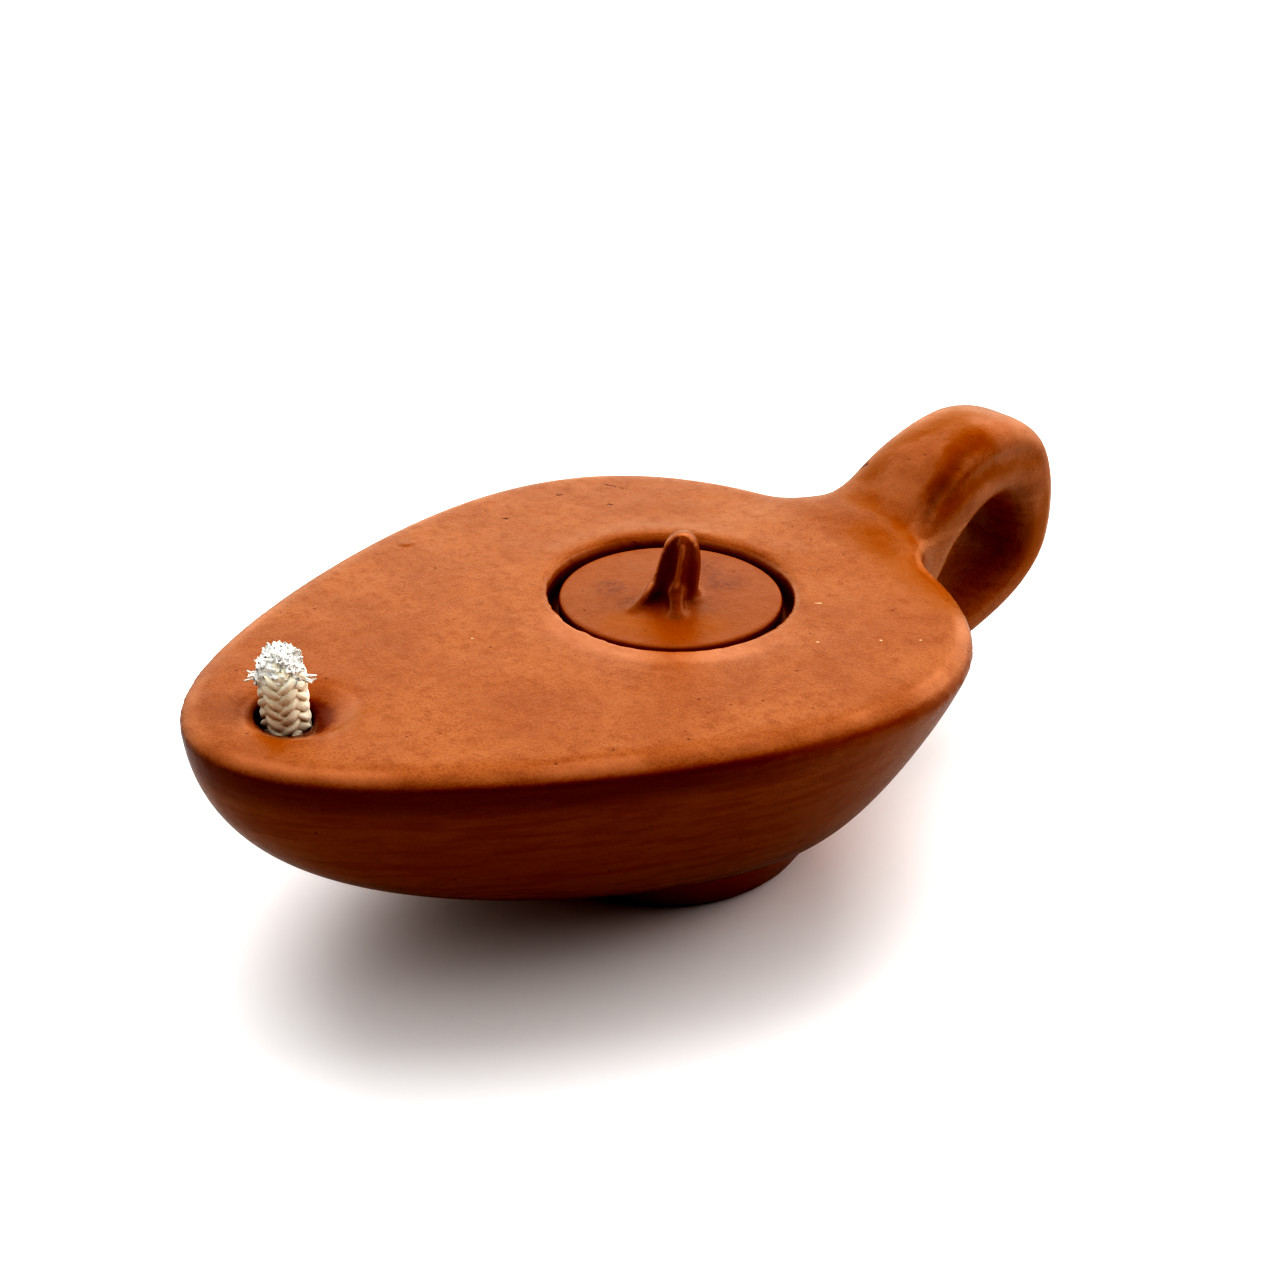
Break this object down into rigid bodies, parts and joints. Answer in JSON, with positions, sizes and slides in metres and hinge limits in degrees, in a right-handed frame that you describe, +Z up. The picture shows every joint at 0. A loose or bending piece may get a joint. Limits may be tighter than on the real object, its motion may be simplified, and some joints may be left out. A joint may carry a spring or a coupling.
{
  "type": "roman style oil lamp",
  "caption": "Hand-made terracotta oil lamp with a hollow almond-shaped reservoir, sunk loose lid, dished wick hole, braided wick, flared foot and strap handle.",
  "frame": {"origin": "centre of the foot's flat underside", "axes": "+Z up, -Y towards the nose with the wick, +Y towards the handle, +X to the right when the nose points at the viewer's left"},
  "size_m": [0.097, 0.163, 0.0562],
  "materials": {
    "burnished_terracotta": "fired red clay, burnished to a satin gloss, with brushed slip streaks by the handle",
    "lid_terracotta": "fired red clay, burnished to a satin gloss, slightly smudged round the knob",
    "cotton_wick": "undyed braided cotton, frayed at its free end"
  },
  "bodies": {
    "root": {"lamp_body": "burnished_terracotta", "lid": "lid_terracotta", "wick": "cotton_wick"}
  },
  "joints": []
}
